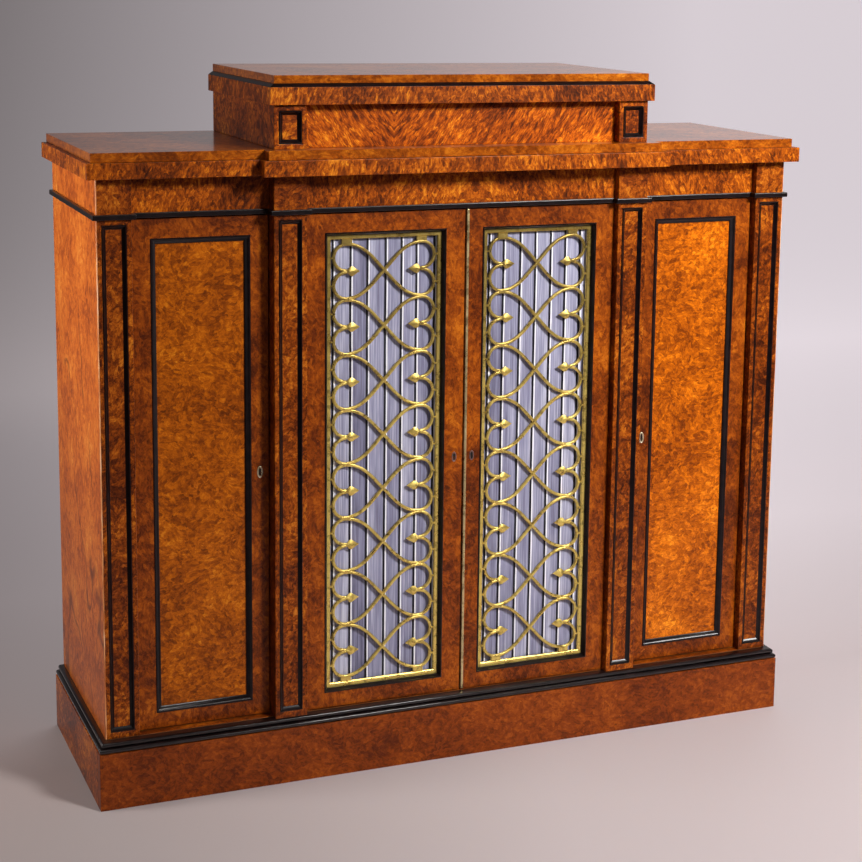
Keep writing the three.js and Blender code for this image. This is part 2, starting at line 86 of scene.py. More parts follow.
def startMaterial(name, roughness, metallic=0, coat=0, coatRoughness=0.1):
    material = bpy.data.materials.new(name)
    material.use_nodes = True
    shader = material.node_tree.nodes["Principled BSDF"]
    shader.inputs["Roughness"].default_value = roughness
    shader.inputs["Metallic"].default_value = metallic
    shader.inputs["Coat Weight"].default_value = coat
    shader.inputs["Coat Roughness"].default_value = coatRoughness
    return material, material.node_tree, shader


def mapped(tree, stretch=(1, 1, 1), turn=(0, 0, 0), shift=(0, 0, 0), matchedAt=None):
    # stretch lengthens the figure along each turned axis
    # matchedAt mirrors it about that x, as in a pair of book-matched veneers
    coordinates = tree.nodes.new("ShaderNodeTexCoord").outputs["Object"]
    if matchedAt is not None:
        parts = tree.nodes.new("ShaderNodeSeparateXYZ")
        tree.links.new(coordinates, parts.inputs[0])
        whole = tree.nodes.new("ShaderNodeCombineXYZ")
        away = mathOf(tree, "ABSOLUTE", mathOf(tree, "SUBTRACT", parts.outputs["X"], matchedAt))
        for source, target in ((away, "X"), (parts.outputs["Y"], "Y"), (parts.outputs["Z"], "Z")):
            tree.links.new(source, whole.inputs[target])
        coordinates = whole.outputs[0]
    mapping = tree.nodes.new("ShaderNodeMapping")
    mapping.vector_type = "TEXTURE"
    mapping.inputs["Scale"].default_value = stretch
    mapping.inputs["Rotation"].default_value = [math.radians(angle) for angle in turn]
    mapping.inputs["Location"].default_value = shift
    tree.links.new(coordinates, mapping.inputs["Vector"])
    return mapping.outputs["Vector"]


def noiseOf(tree, vector, scale, detail=3, roughness=0.5, distortion=0, output=0):
    noise = tree.nodes.new("ShaderNodeTexNoise")
    noise.inputs["Scale"].default_value = scale
    noise.inputs["Detail"].default_value = detail
    noise.inputs["Roughness"].default_value = roughness
    noise.inputs["Distortion"].default_value = distortion
    tree.links.new(vector, noise.inputs["Vector"])
    return noise.outputs[output]


def rampOf(tree, factor, stops):
    ramp = tree.nodes.new("ShaderNodeValToRGB")
    elements = ramp.color_ramp.elements
    while len(elements) < len(stops):
        elements.new(0.5)
    for element, (place, colour) in zip(elements, stops):
        element.position = place
        element.color = colour if len(colour) == 4 else (*colour, 1)
    tree.links.new(factor, ramp.inputs["Fac"])
    return ramp.outputs["Color"]


def grey(value):
    return (value, value, value, 1)


def fade(tree, factor, start, end, low=0, high=1):
    # grey from low to high as the factor goes from start to end
    return rampOf(tree, factor, [(start, grey(low)), (end, grey(high))])


def mathOf(tree, operation, first, second=None):
    node = tree.nodes.new("ShaderNodeMath")
    node.operation = operation
    for socket, value in zip(node.inputs, (first, second)):
        if value is None:
            continue
        if isinstance(value, (int, float)):
            socket.default_value = value
        else:
            tree.links.new(value, socket)
    return node.outputs[0]


def mixOf(tree, factor, first, second, blend="MIX"):
    mix = tree.nodes.new("ShaderNodeMix")
    mix.data_type = "RGBA"
    mix.blend_type = blend
    for socket, value in ((mix.inputs[0], factor), (mix.inputs[6], first), (mix.inputs[7], second)):
        if isinstance(value, (int, float, tuple)):
            socket.default_value = value
        else:
            tree.links.new(value, socket)
    return mix.outputs[2]


def warpOf(tree, vector, scale, amount):
    # pushes the coordinates about, so that the figure curls
    push = tree.nodes.new("ShaderNodeVectorMath")
    push.operation = "MULTIPLY_ADD"
    tree.links.new(noiseOf(tree, vector, scale, 2, output=1), push.inputs[0])
    push.inputs[1].default_value = (amount, amount, amount)
    tree.links.new(vector, push.inputs[2])
    return push.outputs[0]


def bumpOf(tree, height, shader, strength, distance):
    bump = tree.nodes.new("ShaderNodeBump")
    bump.inputs["Strength"].default_value = strength
    bump.inputs["Distance"].default_value = distance
    tree.links.new(height, bump.inputs["Height"])
    tree.links.new(bump.outputs["Normal"], shader.inputs["Normal"])


# veneers

# shares are those of the figure, the flecks, the clouds and the chips
veneerLook = {
    "burr": {"tones": [(52, 18, 3), (98, 38, 4), (142, 62, 6), (184, 92, 11), (222, 138, 30)],
             "figure": 95, "flecks": 240, "stretch": (1, 1, 1.2), "turn": (0, 20, 0),
             "shares": (0.28, 0.10, 0.42, 0.13), "contrast": 0.9},
    "pilaster": {"tones": [(44, 15, 3), (84, 32, 4), (122, 53, 6), (160, 78, 11), (200, 118, 30)],
                 "figure": 95, "flecks": 240, "stretch": (1, 1, 1.2), "turn": (0, 20, 0),
                 "shares": (0.28, 0.10, 0.44, 0.13), "contrast": 0.85},
    "plinth": {"tones": [(48, 17, 4), (90, 35, 6), (128, 55, 9), (158, 76, 15), (188, 106, 30)],
               "figure": 70, "flecks": 220, "stretch": (1.3, 1, 1), "turn": (0, 10, 0),
               "shares": (0.28, 0.10, 0.40, 0.12), "contrast": 0.5},
    "doorFrame": {"tones": [(46, 16, 3), (88, 34, 5), (127, 56, 7), (160, 78, 11), (194, 108, 22)],
                  "figure": 75, "flecks": 250, "stretch": (1, 1, 1.4), "turn": (0, -12, 0),
                  "shares": (0.27, 0.08, 0.50, 0.10), "contrast": 0.75},
    "panel": {"tones": [(72, 27, 3), (122, 54, 3), (166, 80, 4), (204, 106, 8), (238, 154, 34)],
              "figure": 90, "flecks": 240, "stretch": (1.2, 1, 1), "turn": (0, 0, 0),
              "shares": (0.26, 0.10, 0.34, 0.14), "contrast": 0.68},
    "flame": {"tones": [(56, 20, 2), (112, 45, 3), (162, 71, 4), (206, 100, 8), (240, 150, 32)],
              "figure": 95, "flecks": 220, "stretch": (0.6, 1, 1.9), "turn": (0, 34, 0),
              "shares": (0.38, 0.09, 0.34, 0.12), "contrast": 0.95,
              "matchedAt": -0.135},
    "frieze": {"tones": [(50, 18, 3), (98, 40, 4), (140, 63, 6), (182, 90, 10), (222, 136, 30)],
               "figure": 95, "flecks": 240, "stretch": (0.8, 1, 1.6), "turn": (0, -14, 0),
               "shares": (0.32, 0.10, 0.38, 0.12), "contrast": 0.9,
               "matchedAt": 0.02},
    "side": {"tones": [(104, 40, 10), (160, 72, 16), (198, 97, 24), (216, 118, 36), (238, 152, 62)],
             "figure": 80, "flecks": 200, "stretch": (1, 1, 1.4), "turn": (6, 0, 0),
             "shares": (0.28, 0.10, 0.42, 0.13), "contrast": 0.66, "veins": 0.65},
    "top": {"tones": [(60, 24, 6), (108, 48, 9), (152, 74, 12), (188, 102, 20), (220, 140, 40)],
            "figure": 85, "flecks": 220, "stretch": (1.5, 1, 1), "turn": (0, 0, 12),
            "shares": (0.30, 0.10, 0.36, 0.10), "contrast": 0.65,
            "coat": 0.75, "coatRoughness": 0.12},
}


polish = {"roughness": 0.36, "specular": 0.15, "coat": 0.08, "coatRoughness": 0.14}
# scales of the parts that every burr shares, and how far its tones are spread
burrParts = {"clouds": 9, "chipsPerFleck": 0.62, "spread": 2.9, "eyes": 105, "eyeClusters": 18,
             "veins": 3.4, "veinPatches": 6}
burrCurls = ((9, 0.05), (40, 0.014))
chipCurl = (120, 0.010)
tonePlaces = (0.06, 0.32, 0.52, 0.70, 0.92)
seedShift = (3.17, 1.31, 2.23)


def burrSum(tree, plain, curled, settings):
    # the burr's figure, its flecks, its broad clouds and its chips, summed and spread about their middle
    figure = noiseOf(tree, curled, settings["figure"], detail=6, roughness=0.66, distortion=0.3)
    flecks = noiseOf(tree, curled, settings["flecks"], detail=4, roughness=0.68, distortion=0.5)
    clouds = noiseOf(tree, plain, burrParts["clouds"], detail=3, roughness=0.6)
    sharp = fade(tree, flecks, 0.40, 0.60)
    # chips: small crisp-edged cells, each of its own tone
    cells = tree.nodes.new("ShaderNodeTexVoronoi")
    cells.inputs["Scale"].default_value = burrParts["chipsPerFleck"] * settings["flecks"]
    tree.links.new(warpOf(tree, curled, *chipCurl), cells.inputs["Vector"])
    chips = tree.nodes.new("ShaderNodeSeparateXYZ")
    tree.links.new(cells.outputs["Color"], chips.inputs[0])
    whole = 0.0
    for layer, share in zip((figure, sharp, clouds, chips.outputs["X"]), settings["shares"]):
        whole = mathOf(tree, "ADD", whole, mathOf(tree, "MULTIPLY", layer, share))
    middle = sum(settings["shares"]) / 2
    gain = burrParts["spread"] * settings["contrast"]
    spread = mathOf(tree, "MULTIPLY", mathOf(tree, "SUBTRACT", whole, middle), gain)
    return mathOf(tree, "ADD", spread, 0.5), flecks


def burrEyes(tree, plain, curled):
    # small dark eyes, in clusters
    eyes = tree.nodes.new("ShaderNodeTexVoronoi")
    eyes.inputs["Scale"].default_value = burrParts["eyes"]
    tree.links.new(curled, eyes.inputs["Vector"])
    dots = fade(tree, eyes.outputs["Distance"], 0.08, 0.22, 0.8, 0)
    patches = noiseOf(tree, plain, burrParts["eyeClusters"])
    clusters = fade(tree, patches, 0.50, 0.66, high=0.8)
    return mixOf(tree, 1.0, dots, clusters, "MULTIPLY")


def darkVeins(tree, plain, curled, strength):
    # dark mineral streaks that wander and fade out
    wander = noiseOf(tree, curled, burrParts["veins"], detail=2, distortion=0.6)
    away = mathOf(tree, "ABSOLUTE", mathOf(tree, "SUBTRACT", wander, 0.5))
    lines = fade(tree, away, 0.003, 0.017, strength, 0)
    patches = noiseOf(tree, plain, burrParts["veinPatches"], detail=2)
    present = fade(tree, patches, 0.44, 0.56)
    return mixOf(tree, 1.0, lines, present, "MULTIPLY")


def veneer(look, seed, shade=1.0):
    # shade lightens or darkens every tone; the wing panels use it as painted light and shade, the left one
    # darker and the right one lighter
    settings = veneerLook[look]
    material, tree, shader = startMaterial(
        f"{look}Veneer{seed}", polish["roughness"], coat=settings.get("coat", polish["coat"]),
        coatRoughness=settings.get("coatRoughness", polish["coatRoughness"]))
    shader.inputs["Specular IOR Level"].default_value = polish["specular"]
    shift = tuple(seed * step for step in seedShift)
    curled = mapped(tree, settings["stretch"], settings["turn"], shift, settings.get("matchedAt"))
    plain = mapped(tree, shift=shift)
    for scale, amount in burrCurls:
        curled = warpOf(tree, curled, scale, amount)
    spread, flecks = burrSum(tree, plain, curled, settings)
    tones = [tint(*(shade * part for part in tone)) for tone in settings["tones"]]
    colour = rampOf(tree, spread, list(zip(tonePlaces, tones)))
    colour = mixOf(tree, burrEyes(tree, plain, curled), colour, tint(*settings["tones"][0]))
    if "veins" in settings:
        colour = mixOf(tree, darkVeins(tree, plain, curled, settings["veins"]), colour, tint(66, 28, 12))
    tree.links.new(colour, shader.inputs["Base Color"])
    bumpOf(tree, flecks, shader, 0.05, 0.0005)
    return material


def carcassTimber(name, along):
    # straight-grained timber, with the grain along one axis
    material, tree, shader = startMaterial(name, 0.55)
    stretch = [1, 1, 1]
    stretch["xyz".index(along)] = 25
    place = mapped(tree, tuple(stretch))
    grain = noiseOf(tree, warpOf(tree, place, 4, 0.02), 90, 5, 0.65)
    colour = rampOf(tree, grain, [
        (0.32, tint(92, 54, 30)),
        (0.50, tint(136, 86, 50)),
        (0.68, tint(160, 108, 66)),
    ])
    patches = fade(tree, noiseOf(tree, place, 3, 2), 0.4, 0.7, high=0.5)
    tree.links.new(mixOf(tree, patches, colour, tint(108, 66, 38)), shader.inputs["Base Color"])
    bumpOf(tree, grain, shader, 0.2, 0.0004)
    return material


def ebonisedWood(name, coat):
    material, tree, shader = startMaterial(name, 0.3, coat=coat, coatRoughness=0.12)
    shader.inputs["Specular IOR Level"].default_value = 0.22
    place = mapped(tree)
    wear = noiseOf(tree, place, 60, 4, 0.6)
    colour = rampOf(tree, wear, [(0.4, tint(12, 6, 7)), (0.75, tint(30, 18, 19))])
    tree.links.new(colour, shader.inputs["Base Color"])
    bumpOf(tree, noiseOf(tree, place, 300, 3), shader, 0.05, 0.0003)
    return material


# how fast the grille brass darkens above its starting height: tarnish, with painted shade
shadeAndTarnishSlope = 2.2  # per metre of height


def agedBrass(name, light, dark, tarnish, shadeAndTarnishAbove=None):
    material, tree, shader = startMaterial(name, 0.30, metallic=0.8)
    place = mapped(tree)
    patches = noiseOf(tree, place, 38, 4, 0.6, 0.5)
    colour = mixOf(tree, patches, tint(*dark), tint(*light))
    spots = fade(tree, noiseOf(tree, place, 90, 3, 0.7), 0.52, 0.66, high=0.75)
    colour = mixOf(tree, spots, colour, tint(*tarnish))
    if shadeAndTarnishAbove is not None:
        # darker and duller towards the top of the door: tarnish there, with painted shade
        parts = tree.nodes.new("ShaderNodeSeparateXYZ")
        tree.links.new(mapped(tree), parts.inputs[0])
        above = mathOf(tree, "SUBTRACT", parts.outputs["Z"], shadeAndTarnishAbove)
        height = mathOf(tree, "MULTIPLY", above, shadeAndTarnishSlope)
        patchy = mathOf(tree, "ADD", height, mathOf(tree, "MULTIPLY", patches, 0.6))
        share = fade(tree, patchy, 0.3, 0.9, high=0.7)
        colour = mixOf(tree, share, colour, tint(*tarnish))
    tree.links.new(colour, shader.inputs["Base Color"])
    rough = fade(tree, patches, 0.35, 0.65, 0.24, 0.42)
    tree.links.new(rough, shader.inputs["Roughness"])
    bumpOf(tree, noiseOf(tree, place, 260, 3), shader, 0.12, 0.0004)
    return material


def filedSteel():
    material, tree, shader = startMaterial("filedSteel", 0.42, metallic=1)
    place = mapped(tree, (1, 1, 12))
    lines = noiseOf(tree, place, 500, 3)
    colour = rampOf(tree, lines, [(0.35, tint(112, 112, 114)), (0.65, tint(160, 160, 162))])
    rust = fade(tree, noiseOf(tree, mapped(tree), 60, 4), 0.60, 0.72, high=0.6)
    tree.links.new(mixOf(tree, rust, colour, tint(96, 66, 48)), shader.inputs["Base Color"])
    bumpOf(tree, lines, shader, 0.15, 0.0003)
    return material


silkTones = [(0.38, tint(76, 73, 100)), (0.50, tint(117, 116, 144)),
             (0.62, tint(146, 146, 174)), (0.76, tint(190, 191, 212))]
# painted shade for the tucks and a painted highlight for the folds' edges
silkTuckShade, silkEdgeHighlight = tint(14, 12, 24), tint(248, 248, 254)


def attributeOf(tree, name):
    attribute = tree.nodes.new("ShaderNodeAttribute")
    attribute.attribute_name = name
    return attribute.outputs["Fac"]


def pleatedSilk():
    material, tree, shader = startMaterial("pleatedSilk", 0.46)
    shader.inputs["Sheen Weight"].default_value = 0.35
    shader.inputs["Sheen Roughness"].default_value = 0.35
    # fine threads, broad streaks and each pleat's own shade
    fine = noiseOf(tree, mapped(tree, (1, 1, 50)), 420, detail=4, roughness=0.6)
    broad = noiseOf(tree, mapped(tree, (1, 1, 20)), 70)
    streaks = mathOf(tree, "ADD", mathOf(tree, "MULTIPLY", fine, 0.6), mathOf(tree, "MULTIPLY", broad, 0.4))
    streaks = mathOf(tree, "ADD", streaks, mathOf(tree, "MULTIPLY", attributeOf(tree, "shade"), 0.16))
    colour = rampOf(tree, streaks, silkTones)
    # painted shade down in the tucks, and a painted highlight along the folds' edges
    fold = attributeOf(tree, "fold")
    colour = mixOf(tree, fade(tree, fold, 0.0, 0.45, 1, 0), colour, silkTuckShade)
    colour = mixOf(tree, fade(tree, fold, 0.75, 1.0), colour, silkEdgeHighlight)
    tree.links.new(colour, shader.inputs["Base Color"])
    bumpOf(tree, fine, shader, 0.18, 0.0003)
    return material


# slant and reach turn a place on the paper into how far across it the light has fallen
floorLook = {"dim": (144, 133, 130), "pale": (206, 195, 199), "dusk": (72, 67, 65), "glow": (220, 211, 217),
             "strength": 0.85, "slant": -0.42, "reach": 4.2, "gain": 1.3, "middle": 0.62, "rise": 0.25}


def plainFloor():
    # a sweep of pale paper, lit from far off on the right and falling into shade on the left
    look = floorLook
    material, tree, shader = startMaterial("paleFloor", 0.8)
    parts = tree.nodes.new("ShaderNodeSeparateXYZ")
    tree.links.new(mapped(tree), parts.inputs[0])
    depth = parts.outputs["Y"]
    along = mathOf(tree, "ADD", parts.outputs["X"], mathOf(tree, "MULTIPLY", depth, look["slant"]))
    near = mathOf(tree, "DIVIDE", along, mathOf(tree, "ADD", mathOf(tree, "ABSOLUTE", depth), look["reach"]))
    across = mathOf(tree, "ADD", mathOf(tree, "MULTIPLY", near, look["gain"]), look["middle"])
    paper = rampOf(tree, across, [(0.2, tint(*look["dim"])), (0.7, tint(*look["pale"]))])
    glow = rampOf(tree, across, [(0.15, tint(*look["dusk"])), (0.8, tint(*look["glow"]))])
    far = rampOf(tree, mathOf(tree, "MULTIPLY", depth, look["rise"]), [
        (0.0, grey(0)), (0.25, grey(0.5 * look["strength"])), (0.8, grey(look["strength"]))])
    tree.links.new(paper, shader.inputs["Base Color"])
    tree.links.new(glow, shader.inputs["Emission Color"])
    tree.links.new(far, shader.inputs["Emission Strength"])
    return material


print("materials: veneers, ebony black, brass, steel and silk")
ebonised = ebonisedWood("ebonisedMoulding", 0.22)
ebonisedBead = ebonisedWood("ebonisedBead", 0.1)
ebonisedReeds = ebonisedWood("ebonisedReeds", 0.9)
grilleBrass = agedBrass("grilleBrass", (254, 232, 132), (208, 168, 82), (134, 110, 58), shadeAndTarnishAbove=0.70)
stripBrass = agedBrass("stripBrass", (232, 214, 164), (172, 150, 100), (110, 94, 62))
fittingBrass = agedBrass("fittingBrass", (206, 178, 104), (140, 112, 56), (92, 78, 42))
escutcheonBrass = agedBrass("escutcheonBrass", (246, 238, 214), (214, 200, 160), (160, 146, 104))
dullEscutcheon = agedBrass("dullEscutcheon", (170, 150, 150), (122, 104, 104), (84, 74, 66))
lockSteel = filedSteel()
silkCloth = pleatedSilk()
# the keyholes are thin dark sheets: painted shade for the hollow of the hole, mottled a little
blackHole, holeTree, holeShader = startMaterial("keyholeDark", 0.9)
holeNoise = noiseOf(holeTree, mapped(holeTree), 400, detail=2)
holeShadeMottle = rampOf(holeTree, holeNoise, [(0.4, tint(4, 3, 3)), (0.7, tint(16, 12, 10))])
holeTree.links.new(holeShadeMottle, holeShader.inputs["Base Color"])

# mesh helpers

def meshPiece(name, vertices, faces, material, smoothAngle=None):
    mesh = bpy.data.meshes.new(name)
    mesh.from_pydata([tuple(v) for v in vertices], [], faces)
    shape = bmesh.new()
    shape.from_mesh(mesh)
    bmesh.ops.recalc_face_normals(shape, faces=shape.faces)
    shape.to_mesh(mesh)
    shape.free()
    mesh.materials.append(material)
    piece = bpy.data.objects.new(name, mesh)
    scene.collection.objects.link(piece)
    if smoothAngle is not None:
        smoothed(piece, smoothAngle)
    return piece


def smoothed(piece, angle):
    mesh = piece.data
    for face in mesh.polygons:
        face.use_smooth = True
    mesh.set_sharp_from_angle(angle=math.radians(angle))


def settle(piece, body, slotName, *stoodFor):
    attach(piece, body)
    if stoodFor:
        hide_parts(*stoodFor)
    return piece


def pieceFrom(shape, name, material):
    mesh = bpy.data.meshes.new(name)
    shape.to_mesh(mesh)
    shape.free()
    mesh.materials.append(material)
    piece = bpy.data.objects.new(name, mesh)
    scene.collection.objects.link(piece)
    return piece


def easedCopy(nodeName, material, slotName, body, easing=0.6):
    # the node's own shape with its edges eased, as a hand plane leaves them
    shape = bmesh.new()
    shape.from_mesh(nodes[nodeName].data)
    bmesh.ops.remove_doubles(shape, verts=shape.verts, dist=1e-5)
    bmesh.ops.dissolve_limit(shape, angle_limit=math.radians(1), verts=shape.verts, edges=shape.edges)
    piece = pieceFrom(shape, nodeName + "_eased", material)
    bevel = piece.modifiers.new("ease", "BEVEL")
    bevel.width = easing * mm
    bevel.segments = 2
    bevel.limit_method = "ANGLE"
    bevel.angle_limit = math.radians(30)
    return settle(piece, body, slotName, nodeName)


def bandOf(first, second, count):
    # the faces between two rings of vertices, given each ring's first index
    return [(first + j, first + (j + 1) % count, second + (j + 1) % count, second + j) for j in range(count)]


def capsOf(first, last, count):
    return [tuple(first + j for j in range(count)), tuple(last + j for j in reversed(range(count)))]


def prism(name, near, far, material, smoothAngle=None):
    # a solid between two outlines with as many points as each other
    count = len(near)
    faces = bandOf(0, count, count) + capsOf(0, count, count)
    return meshPiece(name, near + far, faces, material, smoothAngle)


def thinSheet(name, sides, depths, heights, material):
    # a sheet of veneer laid flat on a board
    near, far = ([(x, depths[0], heights[0]), (x, depths[1], heights[0]),
                  (x, depths[1], heights[1]), (x, depths[0], heights[1])] for x in sides)
    return prism(name, near, far, material)


def mitredFrame(name, sides, heights, profile, material, smoothAngle=35):
    # a profile of (inset, y) points carried round a rectangle that faces the front
    (x0, x1), (z0, z1) = sides, heights
    vertices = []
    for inset, y in profile:
        vertices += [(x0 + inset, y, z0 + inset), (x1 - inset, y, z0 + inset),
                     (x1 - inset, y, z1 - inset), (x0 + inset, y, z1 - inset)]
    faces = []
    for i in range(len(profile)):
        faces += bandOf(4 * i, 4 * ((i + 1) % len(profile)), 4)
    return meshPiece(name, vertices, faces, material, smoothAngle)


def sweptPlan(name, path, profile, material, smoothAngle=35):
    # a profile of (inset, z) points carried along an open path in plan, mitred at its corners
    rings = []
    for i, point in enumerate(path):
        here = Vector(point)
        ahead = (Vector(path[min(i + 1, len(path) - 1)]) - here)
        behind = (here - Vector(path[max(i - 1, 0)]))
        ahead = ahead.normalized() if ahead.length else behind.normalized()
        behind = behind.normalized() if behind.length else ahead
        inner = [Vector((-d.y, d.x)) for d in (behind, ahead)]
        mitre = (inner[0] + inner[1]).normalized()
        mitre /= max(mitre.dot(inner[0]), 0.2)
        rings.append([(here.x + mitre.x * inset, here.y + mitre.y * inset, z) for inset, z in profile])
    count, last = len(profile), len(rings) - 1
    faces = []
    for i in range(last):
        faces += bandOf(i * count, (i + 1) * count, count)
    faces += capsOf(0, last * count, count)
    return meshPiece(name, [v for ring in rings for v in ring], faces, material, smoothAngle)


def spanOf(side, inner, outer):
    return (-outer, -inner) if side < 0 else (inner, outer)


# veneered boards

print("carcass: veneered boards with eased edges")
# look, slot and nodes; each board's seed is its place in the list
boards = [
    ("plinth", "burr_veneer", ["plinth_front_board"]),
    ("burr", "side_veneer", ["plinth_left_board", "plinth_right_board"]),
    ("side", "side_veneer", ["left_side_panel", "right_side_panel"]),
    ("pilaster", "burr_veneer", [f"{word}_pilaster" for word in pilasters]),
    ("frieze", "burr_veneer", ["frieze_rail", "cornice_band"]),
    ("top", "polished_top", ["cornice_top"]),
    ("flame", "burr_panel", ["upper_front_panel"]),
    ("burr", "burr_veneer", ["upper_left_end", "upper_right_end"]),
    ("frieze", "burr_veneer", ["upper_band"]),
    ("top", "polished_top", ["upper_top"]),
]
arris = {"pilaster": 1.6, "end": 1.6, "other": 0.8}
seed = 0
for look, slotName, nodeNames in boards:
    for nodeName in nodeNames:
        seed += 1
        kind = nodeName.split("_")[-1]
        easedCopy(nodeName, veneer(look, seed), slotName, "root", arris[kind if kind in arris else "other"])

inside = {
    "bottom_board": "x", "back_panel": "z", "plinth_back_board": "x", "upper_back_board": "x",
    "left_partition": "z", "right_partition": "z", "left_wing_shelf": "x", "right_wing_shelf": "x",
    "centre_lower_shelf": "x", "centre_upper_shelf": "x",
}
timbers = {axis: carcassTimber("carcassTimber" + axis.upper(), axis) for axis in "xz"}
for nodeName, axis in inside.items():
    easedCopy(nodeName, timbers[axis], "carcass_timber", "root", 0.7)

skin = {"thickness": 0.3, "front": 1.0, "back": 1.0, "ends": 0.5, "seed": 20}
for word in ("left", "right"):
    # one sheet of veneer covers the side and the pilaster's return
    low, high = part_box(f"{word}_side_panel")
    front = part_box(f"outer_{word}_pilaster")[0].y + skin["front"] * mm
    face = low.x if word == "left" else high.x
    outer = face + sideOf(word) * skin["thickness"] * mm
    depths = (front, high.y - skin["back"] * mm)
    heights = (low.z + skin["ends"] * mm, high.z - skin["ends"] * mm)
    material = veneer("side", skin["seed"] + sideOf(word))
    sheet = thinSheet(f"{word}_side_veneer_skin", (face, outer), depths, heights, material)
    settle(sheet, "root", "side_veneer")

# it stands a little proud of the side and the front, and laps behind them by its tail
cornerBead = {"radius": 1.8, "steps": 8, "proudSide": 0.45, "proudFront": 0.35, "tail": 0.2, "lap": 0.8,
              "bottom": 122.0, "top": 1109.0}
# a pale rubbed edge, which also carries a painted highlight down the front corner
wornEdgeHighlight, wornHighlightTree, wornHighlightShader = startMaterial("wornEdgeHighlight", 0.4)
wornHighlightGrain = noiseOf(wornHighlightTree, mapped(wornHighlightTree, (1, 1, 8)), 120, detail=4, roughness=0.6)
wornHighlightTones = [(0.38, tint(190, 104, 48)), (0.5, tint(226, 156, 100)), (0.62, tint(240, 190, 148))]
wornHighlightTree.links.new(rampOf(wornHighlightTree, wornHighlightGrain, wornHighlightTones), wornHighlightShader.inputs["Base Color"])
for word in ("left", "right"):
    # the front corner, rounded over, rubbed pale and given a painted highlight
    side = sideOf(word)
    low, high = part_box(f"outer_{word}_pilaster")
    radius, tail, lap = (cornerBead[key] * mm for key in ("radius", "tail", "lap"))
    outX = (low.x if side < 0 else high.x) + side * cornerBead["proudSide"] * mm
    outY = low.y - cornerBead["proudFront"] * mm
    outline = []
    for i in range(cornerBead["steps"] + 1):
        angle = math.radians(90 * i / cornerBead["steps"])
        outline.append((outX - side * radius * (1 - math.sin(angle)), outY + radius * (1 - math.cos(angle))))
    backY = outY + radius + tail
    outline += [(outX, backY), (outX - side * lap, backY), (outX - side * radius, outY + lap)]
    near, far = ([(x, y, cornerBead[end] * mm) for x, y in outline] for end in ("bottom", "top"))
    settle(prism(f"{word}_front_corner", near, far, wornEdgeHighlight, 50), "root", "side_veneer")

# black mouldings

print("mouldings: plinth reeds, beads and sunk frames")


def halfRound(inset, z0, z1, steps=8):
    # points of a half-round nose between two heights, bulging to the given inset
    radius = (z1 - z0) / 2
    middle = (z0 + z1) / 2
    return [(inset + radius - radius * math.cos(a), middle + radius * math.sin(a))
            for a in [math.radians(-90 + 180 * i / steps) for i in range(steps + 1)]]


plinthReeds = {"lowerInset": 0.5, "upperInset": 5.0, "depth": 22.0}
low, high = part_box("plinth_moulding")
plinthLow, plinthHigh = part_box("plinth_front_board")
outerX, frontY = plinthHigh.x, plinthLow.y
middleZ = (low.z + high.z) / 2
reedProfile = halfRound(plinthReeds["lowerInset"] * mm, low.z, middleZ)
reedProfile += halfRound(plinthReeds["upperInset"] * mm, middleZ, high.z)
reedProfile += [(plinthReeds["depth"] * mm, high.z), (plinthReeds["depth"] * mm, low.z)]
reedPath = [(-outerX, high.y), (-outerX, frontY), (outerX, frontY), (outerX, high.y)]
reeds = sweptPlan("plinth_reeds", reedPath, reedProfile, ebonisedReeds, 50)
settle(reeds, "root", "ebonised_moulding", "plinth_moulding")
for nodeName in ("frieze_bead", "upper_bead"):
    easedCopy(nodeName, ebonisedBead, "ebonised_moulding", "root", 1.4)

sunkMoulding = {"width": 7.5, "proud": 0.8, "depth": 5.4, "margin": 9.0, "bottom": 133.5, "top": 1030.0}


def sunkFrame(name, sides, heights, front):
    # a small nose at the outer edge, then a hollow running down to the field
    width, depth, proud = (sunkMoulding[key] * mm for key in ("width", "depth", "proud"))
    nose = [(0.1, depth), (0.1, -proud * 0.4), (0.7, -proud), (1.7, -proud * 0.8)]
    hollow = [(3.0, depth * 0.25), (4.8, depth * 0.62)]
    profile = [(inset * mm, front + drop) for inset, drop in nose + hollow]
    profile += [(width - 0.5 * mm, front + depth * 0.86), (width, front + depth)]
    settle(mitredFrame(name, sides, heights, profile, ebonised, 40), "root", "ebonised_moulding")


for word in pilasters:
    low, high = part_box(word + "_pilaster")
    margin = sunkMoulding["margin"] * mm
    sunkFrame(word + "_sunk_moulding", (low.x + margin, high.x - margin),
              (sunkMoulding["bottom"] * mm, sunkMoulding["top"] * mm), low.y)
upperSquare = {"inner": 311.0, "outer": 352.0, "bottom": 1162.0, "top": 1219.0}
for word in ("left", "right"):
    low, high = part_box(f"upper_{word}_end")
    inner, outer, bottom, top = (upperSquare[key] * mm for key in ("inner", "outer", "bottom", "top"))
    sunkFrame(f"upper_{word}_sunk_moulding", spanOf(sideOf(word), inner, outer), (bottom, top), low.y)

# doors

print("doors: frames, panels and their mouldings")
# painted light and shade on the wing panels: the left one darker, the right one lighter
panelPaintedLight = {"left_wing": 0.92, "right_wing": 1.06}
doorSeeds = {"frame": 30, "panel": 40}
wingDoorMoulding = {"width": 10.0, "proud": 1.5, "sink": 6.6}
centreDoorMoulding = {"width": 6.5, "proud": 1.5, "sink": 8.0}


